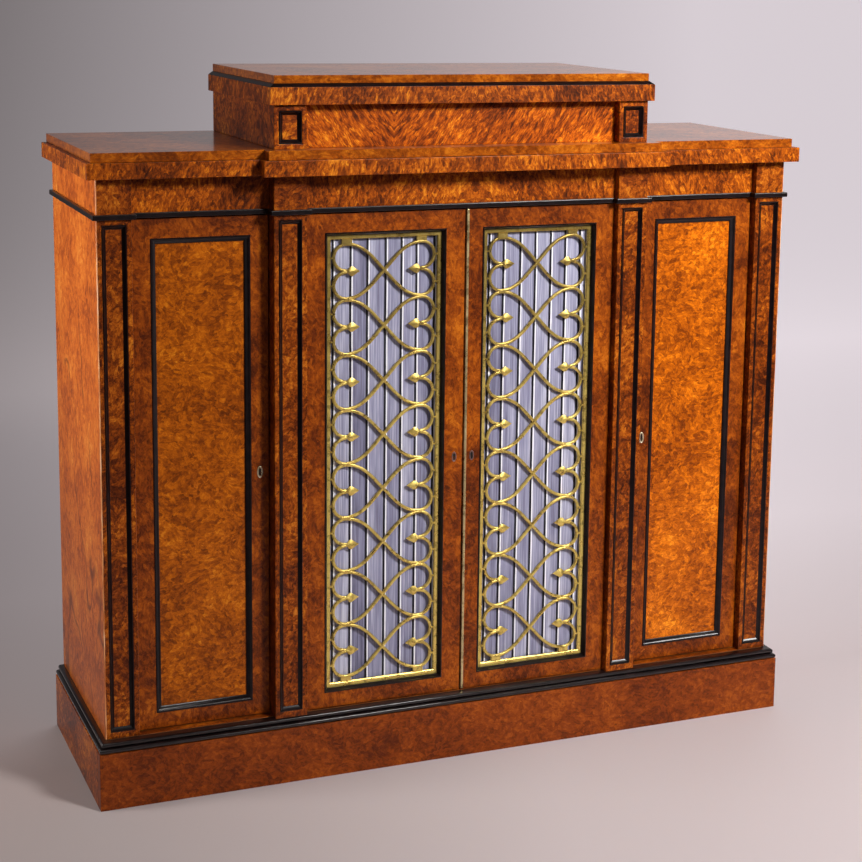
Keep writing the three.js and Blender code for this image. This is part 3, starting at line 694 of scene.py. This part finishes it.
def doorMoulding(door, settings):
    # proud of the frame at its outer edge, falling in an ogee to the panel
    low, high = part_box(door + "_door_moulding")
    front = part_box(door + "_door_frame")[0].y
    width, proud, sink = (settings[key] * mm for key in ("width", "proud", "sink"))
    nose = [(0, sink), (0, -proud * 0.5), (0.8 * mm, -proud), (2.2 * mm, -proud * 0.9)]
    ogee = [(0.40, -proud * 0.1), (0.62, sink * 0.35), (0.86, sink * 0.55), (1, sink * 0.8), (1, sink)]
    profile = [(inset, front + drop) for inset, drop in nose]
    profile += [(width * share, front + drop) for share, drop in ogee]
    ring = mitredFrame(door + "_bolection", (low.x, high.x), (low.z, high.z), profile, ebonised, 40)
    settle(ring, door + "_door", "ebonised_moulding", door + "_door_moulding")


# veneer on the ledge in front of the doors
lip = {"thickness": 0.4, "back": 16.0, "front": 0.2, "ends": 21.0, "seed": 50}
low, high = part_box("bottom_board")
ledge = thinSheet("ledge_veneer", (low.x + lip["ends"] * mm, high.x - lip["ends"] * mm),
                  (low.y + lip["front"] * mm, low.y + lip["back"] * mm),
                  (high.z, high.z + lip["thickness"] * mm), veneer("doorFrame", lip["seed"]))
settle(ledge, "root", "door_frame_veneer")

for index, door in enumerate(doorNames):
    body = door + "_door"
    frameVeneer = veneer("doorFrame", doorSeeds["frame"] + index)
    easedCopy(door + "_door_frame", frameVeneer, "door_frame_veneer", body, 0.6)
    doorMoulding(door, wingDoorMoulding if "wing" in door else centreDoorMoulding)
    if "wing" in door:
        panelVeneer = veneer("panel", doorSeeds["panel"] + index, panelPaintedLight[door])
        easedCopy(door + "_door_panel", panelVeneer, "burr_panel", body, 0.3)
    for end in ("top", "bottom"):
        easedCopy(f"{door}_{end}_pivot", fittingBrass, "brass_fittings", body, 0.3)
    if f"{door}_lock_case" in nodes:
        easedCopy(f"{door}_lock_case", lockSteel, "steel_lock", body, 0.4)
        easedCopy(f"{door}_lock_bolt", fittingBrass, "brass_fittings", f"{door}_lock_bolt", 0.4)
easedCopy("left_centre_flush_bolt", fittingBrass, "brass_fittings", "left_centre_flush_bolt", 0.4)
easedCopy("right_centre_meeting_strip", stripBrass, "brass_grille", "right_centre_door", 1.0)

# shelf battens, glue blocks, silk slips and screws

print("fittings: battens, glue blocks, slips and screws")


def blockPiece(name, low, high, chamfer, material, slotName, body):
    # a block with its edges chamfered off
    shape = bmesh.new()
    bmesh.ops.create_cube(shape, size=1)
    centre = [(a + b) / 2 for a, b in zip(low, high)]
    for vertex in shape.verts:
        vertex.co = Vector([c + part * (b - a) for c, part, a, b in zip(centre, vertex.co, low, high)])
    bmesh.ops.bevel(shape, geom=shape.edges[:], offset=chamfer, segments=2, affect="EDGES", profile=0.5)
    return settle(pieceFrom(shape, name, material), body, slotName)


batten = {"height": 18.0, "width": 14.0, "chamfer": 1.2, "setBack": 12.0}
for nodeName in ("left_wing_shelf", "right_wing_shelf", "centre_lower_shelf", "centre_upper_shelf"):
    low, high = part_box(nodeName)
    height, width, chamfer, setBack = (batten[key] * mm for key in ("height", "width", "chamfer", "setBack"))
    for word, near, far in (("left", low.x, low.x + width), ("right", high.x - width, high.x)):
        blockPiece(f"{nodeName}_{word}_batten", (near, low.y + setBack, low.z - height), (far, high.y, low.z),
                   chamfer, timbers["x"], "carcass_timber", "root")

# triangular blocks, glued behind the plinth's front board and under the bottom board
glueBlock = {"size": 22.0, "length": 62.0, "places": (-520.0, -180.0, 180.0, 520.0)}
low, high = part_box("plinth_front_board")
for index, place in enumerate(glueBlock["places"]):
    half, size = glueBlock["length"] / 2 * mm, glueBlock["size"] * mm
    corner = [(high.y, high.z), (high.y + size, high.z), (high.y, high.z - size)]
    near, far = ([(place * mm + end, y, z) for y, z in corner] for end in (-half, half))
    block = prism(f"plinth_glue_block_{index + 1}", near, far, timbers["x"])
    settle(block, "root", "carcass_timber")

slip = {"width": 9.0, "front": 1.2, "clear": 0.4, "chamfer": 0.8}
for door in grilleDoors:
    # slips that hold the silk's edges down in the rebate
    low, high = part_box(door + "_silk")
    width, chamfer = slip["width"] * mm, slip["chamfer"] * mm
    front = high.y + slip["front"] * mm
    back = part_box(door + "_door_frame")[1].y - slip["clear"] * mm
    profile = [(0, back), (0, front), (width, front), (width, back - chamfer / 2), (width - chamfer, back)]
    ring = mitredFrame(door + "_silk_slips", (low.x, high.x), (low.z, high.z), profile, timbers["z"], 30)
    settle(ring, door + "_door", "carcass_timber")

screw = {"radius": 3.4, "crown": 0.7, "dome": 0.9, "slot": 0.8, "steps": 20, "inset": 5.5,
         "firstTurn": 0.5, "turnStep": 1.3}


def screwHead(vertices, faces, centre, turn):
    # a slotted round head that faces the back: two crowned halves with the slot between them
    radius, gap = screw["radius"], screw["slot"] / 2
    for half in (1, -1):
        start = math.asin(gap / radius)
        arc = [start + (math.pi - 2 * start) * i / screw["steps"] for i in range(screw["steps"] + 1)]
        outline = [(radius * math.cos(a), half * radius * math.sin(a)) for a in arc]
        inner = [(screw["crown"] * u, half * max(abs(v) * screw["crown"], gap)) for u, v in outline]
        base = len(vertices)
        for ring, lift in ((outline, 0.0), (outline, screw["dome"] * 0.45), (inner, screw["dome"])):
            for u, v in ring:
                across, up = u * math.cos(turn) - v * math.sin(turn), u * math.sin(turn) + v * math.cos(turn)
                vertices.append((centre[0] + across * mm, centre[1] + lift * mm, centre[2] + up * mm))
        count = len(outline)
        for level in range(2):
            faces += bandOf(base + level * count, base + (level + 1) * count, count)
        faces += capsOf(base, base + 2 * count, count)


for door in doorNames:
    if f"{door}_lock_case" in nodes:
        low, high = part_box(f"{door}_lock_case")
        inset = screw["inset"] * mm
        places = [(x, high.y, z) for x in (low.x + inset, high.x - inset)
                  for z in (low.z + inset, high.z - inset)]
        vertices, faces = [], []
        for index, place in enumerate(places):
            screwHead(vertices, faces, place, screw["firstTurn"] + screw["turnStep"] * index)
        heads = meshPiece(f"{door}_lock_screws", vertices, faces, lockSteel, 40)
        settle(heads, door + "_door", "steel_lock")

# keyholes

escutcheon = {"width": 10.5, "height": 22.0, "rim": 2.9, "proud": 1.1, "centreHeight": 577.0, "inset": 16.0,
              "steps": 40}
# the rim's section, as shares of its width and of its height
rimSection = [(0, 0.2), (0, -0.5), (0.25, -0.85), (0.6, -1), (0.85, -0.7), (1, -0.2), (1, 0.2)]
# the centre doors' escutcheons are smaller, thinner and duller
centreShare = {"size": 0.86, "rim": 0.7}
keySlot = {"head": 2.7, "headUp": 2.8, "from": -50, "sweep": 280, "steps": 16,
           "footHalf": 1.5, "footDown": 6.2, "proud": 0.15, "depth": 1.2}


def ovalRing(name, centre, front, width, height, rim, material):
    steps, count, proud = escutcheon["steps"], len(rimSection), escutcheon["proud"] * mm
    vertices, faces = [], []
    for i in range(steps):
        angle = 2 * math.pi * i / steps
        for share, lift in rimSection:
            across = (width / 2 - rim * share) * math.cos(angle)
            up = (height / 2 - rim * share) * math.sin(angle)
            vertices.append((centre[0] + across, front + lift * proud, centre[1] + up))
        faces += bandOf(i * count, ((i + 1) % steps) * count, count)
    return meshPiece(name, vertices, faces, material, 60)


def keyhole(door):
    # an oval rim round a round-headed keyhole, whose dark is painted shade on a thin sheet at the door's face
    low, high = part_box(door + "_door_frame")
    side = sideOf(door)
    free = high.x if side < 0 else low.x
    centre = (free + side * escutcheon["inset"] * mm, escutcheon["centreHeight"] * mm)
    size, thinning = (centreShare["size"], centreShare["rim"]) if "centre" in door else (1.0, 1.0)
    width, height, rim = (escutcheon[key] * mm for key in ("width", "height", "rim"))
    material = dullEscutcheon if "centre" in door else escutcheonBrass
    width, height, rim = width * size, height * size, rim * thinning
    ring = ovalRing(door + "_escutcheon", centre, low.y, width, height, rim, material)
    settle(ring, door + "_door", "brass_fittings")
    outline = []
    head, foot = keySlot["head"], keySlot["footHalf"]
    for i in range(keySlot["steps"] + 1):
        angle = math.radians(keySlot["from"] + keySlot["sweep"] * i / keySlot["steps"])
        outline.append((head * math.cos(angle), keySlot["headUp"] + head * math.sin(angle)))
    outline += [(-foot, -keySlot["footDown"]), (foot, -keySlot["footDown"])]
    front = low.y - keySlot["proud"] * mm
    depths = (front, front + keySlot["depth"] * mm)
    near, far = ([(centre[0] + x * mm, y, centre[1] + z * mm) for x, z in outline] for y in depths)
    settle(prism(door + "_keyhole", near, far, blackHole), door + "_door", "steel_lock")


for door in doorNames:
    keyhole(door)

# grilles

print("grilles: crossing scrolls in rounded brass bar")
scroll = {
    "repeats": 8, "pitch": 101.0, "bar": 5.8, "thick": 4.0, "loopCentre": (-71.5, 25.2), "loopRadius": 24.0,
    "sweep": ((-37.5, 49.2), (-18.0, 18.0)), "loopSteps": 20, "sweepSteps": 12, "overlap": 0.35,
    "frameBar": 12.0, "block": (61.0, 81.0), "blockLap": 3.0, "blockInset": 0.92,
    "stub": 3.2, "stubInset": 0.9, "budCrown": 1.8, "budInset": 0.22,
}
budHalf = [(-76, -2.8), (-68.5, -3.4), (-64.5, -8), (-60, -8.6), (-46, 0)]
budOutline = budHalf + [(x, -z) for x, z in reversed(budHalf[:-1])]


def bezier(a, b, c, d, t):
    s = 1 - t
    return tuple(s ** 3 * a[k] + 3 * s * s * t * b[k] + 3 * s * t * t * c[k] + t ** 3 * d[k] for k in (0, 1))


def scrollLine():
    # one whole S: a loop, the sweep down through the crossing, and the same turned round
    (cx, cz), radius = scroll["loopCentre"], scroll["loopRadius"]
    half = []
    for i in range(scroll["loopSteps"] + 1):
        angle = math.radians(-90 - 180 * i / scroll["loopSteps"])
        half.append((cx + radius * math.cos(angle), cz + radius * math.sin(angle)))
    first, second = scroll["sweep"]
    steps = scroll["sweepSteps"]
    half += [bezier(half[-1], first, second, (0, 0), i / steps) for i in range(1, steps + 1)]
    return half + [(-x, -z) for x, z in reversed(half[:-1])]


def addBar(vertices, faces, path, place):
    # a bar with a rounded face; place turns (x, z, lift) into a point
    half, thick = scroll["bar"] / 2, scroll["thick"] / 2
    section = [(-half, thick), (-half, -thick * 0.2), (-half * 0.78, -thick * 0.75), (-half * 0.4, -thick),
               (half * 0.4, -thick), (half * 0.78, -thick * 0.75), (half, -thick * 0.2), (half, thick)]
    start, count = len(vertices), len(section)
    for i, (x, z) in enumerate(path):
        before, after = path[max(i - 1, 0)], path[min(i + 1, len(path) - 1)]
        along = Vector((after[0] - before[0], after[1] - before[1])).normalized()
        for across, lift in section:
            vertices.append(place(x - along.y * across, z + along.x * across, lift))
    for i in range(len(path) - 1):
        faces += bandOf(start + i * count, start + (i + 1) * count, count)
    faces += capsOf(start, start + (len(path) - 1) * count, count)


def addSlab(vertices, faces, outline, place, crown=0.0, inset=0.75):
    # a flat outline given thickness, with its front edge bevelled or drawn up to a low crown
    thick = scroll["thick"] / 2
    middle = (sum(x for x, _ in outline) / len(outline), sum(z for _, z in outline) / len(outline))
    start, count = len(vertices), len(outline)
    for lift, share in ((thick, 1.0), (-thick * 0.35, 1.0), (-thick - crown, inset)):
        for point in outline:
            x, z = (centre + (part - centre) * share for centre, part in zip(middle, point))
            vertices.append(place(x, z, lift))
    for level in range(2):
        faces += bandOf(start + level * count, start + (level + 1) * count, count)
    faces += capsOf(start, start + 2 * count, count)


def rectangle(x0, x1, z0, z1):
    return [(x0, z0), (x1, z0), (x1, z1), (x0, z1)]


def buildGrille(door):
    low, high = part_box(door + "_grille")
    middle = (low + high) / 2
    halfX, halfZ = (high.x - low.x) / 2 / mm, (high.z - low.z) / 2 / mm
    innerX, innerZ = halfX - scroll["frameBar"], halfZ - scroll["frameBar"]

    def placer(flip, up, lift):
        def place(x, z, y):
            return (middle.x + flip * x * mm, middle.y + (y + lift) * mm, middle.z + (z + up) * mm)
        return place

    vertices, faces = [], []
    line = scrollLine()
    (loopX, loopZ), radius = scroll["loopCentre"], scroll["loopRadius"]
    stubEnds, stubHalf = (-innerX - 1, loopX - radius + 2), scroll["stub"] / 2
    for repeat in range(scroll["repeats"]):
        up = (repeat - (scroll["repeats"] - 1) / 2) * scroll["pitch"]
        for flip in (1, -1):
            # one scroll of each pair lies a little over the other
            place = placer(flip, up, scroll["overlap"] * flip)
            addBar(vertices, faces, line, place)
            addSlab(vertices, faces, budOutline, place, scroll["budCrown"], scroll["budInset"])
            for stub in (loopZ, -loopZ):
                outline = rectangle(*stubEnds, stub - stubHalf, stub + stubHalf)
                addSlab(vertices, faces, outline, place, 0, scroll["stubInset"])
    # blocks that join the end scrolls to the frame
    ends = scroll["repeats"] * scroll["pitch"] / 2 - scroll["blockLap"]
    for flip in (1, -1):
        for heights in ((ends, innerZ + 1), (-innerZ - 1, -ends)):
            outline = rectangle(*scroll["block"], *heights)
            addSlab(vertices, faces, outline, placer(flip, 0, 0), 0, scroll["blockInset"])
    bars = meshPiece(door + "_scrolls", vertices, faces, grilleBrass, 40)
    settle(bars, door + "_door", "brass_grille", door + "_grille")
    # the rim's front edges are rounded a little
    front, rear, bar = low.y, high.y, scroll["frameBar"]
    profile = [(0.3, rear), (0.3, front + 1.2 * mm), (1.4, front + 0.3 * mm), (bar - 1.8, front + 0.3 * mm),
               (bar - 0.4, front + 1.3 * mm), (bar, rear)]
    profile = [(inset * mm, y) for inset, y in profile]
    rim = mitredFrame(door + "_grille_frame", (low.x, high.x), (low.z, high.z), profile, grilleBrass, 30)
    settle(rim, door + "_door", "brass_grille")


for door in grilleDoors:
    buildGrille(door)

# silk

print("silk: knife pleats behind the grilles")
pleats = {"pitch": 32.0, "tuck": 7.0, "lift": 2.0, "wave": 0.35, "waveCount": 4, "rows": 60, "seed": 5,
          "back": 2.0, "edge": 12.0, "margin": 6.0}
# a pleat's two layers as (x, depth, fold) points from its folded edge; fold sets the painted shade and the
# painted highlight
underLayer = [(-6, 1.75, 0.6), (-4, 1.8, 0.5), (-3.2, 2.1, 0.0)]
overLayer = [(0.5, 0.35, 0.95), (2.2, 0.25, 1.0), (3.4, 0.6, 0.72), (8, 1.2, 0.62)]


def pleatProfile(width, rng):
    # (x, depth, fold, shade) points across the sheet; depth runs back from the front face
    shade = rng.random()
    points = [(0.0, 1.6, 0.6, shade)]
    x = pleats["pitch"] * (0.35 + 0.3 * rng.random())
    while x < width - pleats["margin"]:
        lift = pleats["lift"] * (0.85 + 0.3 * rng.random())
        # the left layer runs under the fold, turns back, and comes over as the next one
        points += [(x + along, depth, fold, shade) for along, depth, fold in underLayer]
        tucked = x + pleats["tuck"]
        points += [(tucked, 2.7, 0.0, shade), (tucked + 0.4, 2.2, 0.0, shade)]
        points += [(x + 0.6, 1.9 - lift * 0.25, 0.0, shade), (x, 1.3 - lift * 0.4, 0.4, shade)]
        shade = rng.random()
        points += [(x + along, depth, fold, shade) for along, depth, fold in overLayer]
        x += pleats["pitch"] * (0.9 + 0.2 * rng.random())
    points.append((width, 1.7, 0.6, shade))
    return [p for p in points if p[0] <= width]


def buildSilk(door, seed):
    rng = random.Random(seed)
    low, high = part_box(door + "_silk")
    width, length = (high.x - low.x) / mm, (high.z - low.z) / mm
    profile = pleatProfile(width, rng)
    count, rows = len(profile), pleats["rows"]
    turn = 2 * math.pi
    waves = [(rng.uniform(0, turn), turn * rng.uniform(1.5, 4.0)) for _ in range(pleats["waveCount"])]
    vertices, values = [], {"fold": [], "shade": []}
    for row in range(rows + 1):
        up = row / rows
        z = low.z + (high.z - low.z) * up
        for x, depth, fold, shade in profile:
            sway = sum(math.sin(phase + speed * up + x * 0.02) for phase, speed in waves) / len(waves)
            # the side edges are held straight
            free = min(min(x, width - x) / pleats["edge"], 1)
            move = pleats["wave"] * sway * free
            vertices.append((low.x + (x + move) * mm, low.y + (depth + pleats["back"]) * mm, z))
            values["fold"].append(fold)
            values["shade"].append(shade)
    faces = [(r * count + i, r * count + i + 1, (r + 1) * count + i + 1, (r + 1) * count + i)
             for r in range(rows) for i in range(count - 1)]
    cloth = meshPiece(door + "_pleated_silk", vertices, faces, silkCloth, 60)
    for name, numbers in values.items():
        attribute = cloth.data.attributes.new(name, "FLOAT", "POINT")
        attribute.data.foreach_set("value", numbers)
    settle(cloth, door + "_door", "pleated_silk", door + "_silk")
    flatWidth = sum(math.hypot(b[0] - a[0], b[1] - a[1]) for a, b in zip(profile, profile[1:]))
    print(f"  {door}: {flatWidth:.0f} mm of silk gathered to {width:.0f} mm, {length:.0f} mm long")


for index, door in enumerate(grilleDoors):
    buildSilk(door, pleats["seed"] + index)

# stage, lights and camera

print("stage: floor, lights and camera")
paper = {"radius": 180.0, "steps": 64}
turns = [2 * math.pi * i / paper["steps"] for i in range(paper["steps"])]
rim = [(paper["radius"] * math.cos(turn), paper["radius"] * math.sin(turn), 0) for turn in turns]
floor = meshPiece("floor", rim, [tuple(range(paper["steps"]))], plainFloor())

# the paper sweep behind the cabinet, low down and brighter on the right, which the polished tops mirror
skyLook = {"air": 0.075, "glowLeft": 0.08, "glowRight": 0.62, "tone": (1.0, 0.93, 0.95, 1)}
world = bpy.data.worlds.new("studioAir")
world.use_nodes = True
skyTree = world.node_tree
background = skyTree.nodes["Background"]
background.inputs["Color"].default_value = skyLook["tone"]
skyParts = skyTree.nodes.new("ShaderNodeSeparateXYZ")
skyTree.links.new(skyTree.nodes.new("ShaderNodeTexCoord").outputs["Generated"], skyParts.inputs[0])
glow = fade(skyTree, skyParts.outputs["X"], 0.14, 0.52, skyLook["glowLeft"], skyLook["glowRight"])
behind = fade(skyTree, skyParts.outputs["Y"], 0.2, 0.7)
lowDown = fade(skyTree, skyParts.outputs["Z"], 0.18, 0.5, 1, 0)
for limit in (behind, lowDown):
    glow = mixOf(skyTree, 1.0, glow, limit, "MULTIPLY")
skyTree.links.new(mathOf(skyTree, "ADD", glow, skyLook["air"]), background.inputs["Strength"])
scene.world = world

# each lamp shines on matt surfaces, in polished ones, or on both; powers in watts
lightLook = {
    "keyRight": {"place": (1.0, -2.35, 2.3), "aim": (0.75, -0.2, 0.95), "size": (0.6, 0.6), "power": 44,
                 "colour": (1.0, 0.97, 0.92), "spread": 110, "on": "matt"},
    "reedGlint": {"place": (2.2, -2.4, 3.2), "aim": (0.4, -0.2, 0.2), "size": (1.8, 0.5), "power": 170,
                  "colour": (1.0, 0.98, 0.96), "spread": 180, "on": "polish"},
    "sideLeft": {"place": (-1.45, -0.02, 0.98), "aim": (-0.667, -0.02, 0.98), "size": (0.26, 0.6), "power": 9,
                 "colour": (1.0, 0.96, 0.90), "spread": 180, "on": "both"},
    "frontFill": {"place": (-1.2, -4.2, 2.6), "aim": (-0.2, 0.0, 0.7), "size": (1.8, 1.8), "power": 10,
                  "colour": (1.0, 0.97, 0.94), "spread": 180, "on": "matt"},
    "overhead": {"place": (0.9, 1.7, 4.0), "aim": (0.2, 0.0, 1.0), "size": (2.4, 2.4), "power": 45,
                 "colour": (0.98, 0.97, 1.0), "spread": 180, "on": "matt"},
}
lightLook["keySheen"] = {**lightLook["keyRight"], "on": "polish"}
for name, settings in lightLook.items():
    lamp = bpy.data.lights.new(name, "AREA")
    lamp.shape = "RECTANGLE"
    lamp.size, lamp.size_y = settings["size"]
    lamp.energy = settings["power"]
    lamp.color = settings["colour"]
    lamp.spread = math.radians(settings["spread"])
    holder = bpy.data.objects.new(name, lamp)
    holder.location = settings["place"]
    towards = Vector(settings["aim"]) - Vector(settings["place"])
    holder.rotation_euler = towards.to_track_quat("-Z", "Y").to_euler()
    holder.visible_camera = False
    holder.visible_glossy = settings["on"] != "matt"
    holder.visible_diffuse = settings["on"] != "polish"
    scene.collection.objects.link(holder)


def lightOnly(lampName, wanted):
    receivers = bpy.data.collections.new(lampName + "Receivers")
    for piece in scene.objects:
        if piece.type == "MESH" and wanted(piece.material_slots[0].material.name):
            receivers.objects.link(piece)
    bpy.data.objects[lampName].light_linking.receiver_collection = receivers


# the key's sheen stays off the polished tops, and the glint falls on the black mouldings alone
lightOnly("keySheen", lambda materialName: not materialName.startswith("topVeneer"))
lightOnly("reedGlint", lambda materialName: materialName.startswith("ebonised"))

cameraSettings = {"place": (-1.2913, -3.3196, 1.4547), "yaw": 23.414, "pitch": 9.796, "roll": 0.984,
                  "lens": 78.989, "sensor": 36.0, "shift": (-0.08, -0.1497)}
yaw, pitch, roll = (math.radians(cameraSettings[key]) for key in ("yaw", "pitch", "roll"))
ahead = Vector((math.sin(yaw) * math.cos(pitch), math.cos(yaw) * math.cos(pitch), -math.sin(pitch)))
right = Vector((math.cos(yaw), -math.sin(yaw), 0))
above = right.cross(ahead)
rightRolled = right * math.cos(roll) + above * math.sin(roll)
aboveRolled = above * math.cos(roll) - right * math.sin(roll)
cameraData = bpy.data.cameras.new("camera")
cameraData.sensor_width = cameraSettings["sensor"]
cameraData.lens = cameraSettings["lens"]
cameraData.shift_x, cameraData.shift_y = cameraSettings["shift"]
cameraData.clip_end = 500
camera = bpy.data.objects.new("camera", cameraData)
pose = Matrix((rightRolled, aboveRolled, -ahead)).transposed().to_4x4()
pose.translation = Vector(cameraSettings["place"])
camera.matrix_world = pose
scene.collection.objects.link(camera)
scene.camera = camera
scene.view_settings.view_transform = "Standard"

bpy.context.view_layer.update()
print("done")
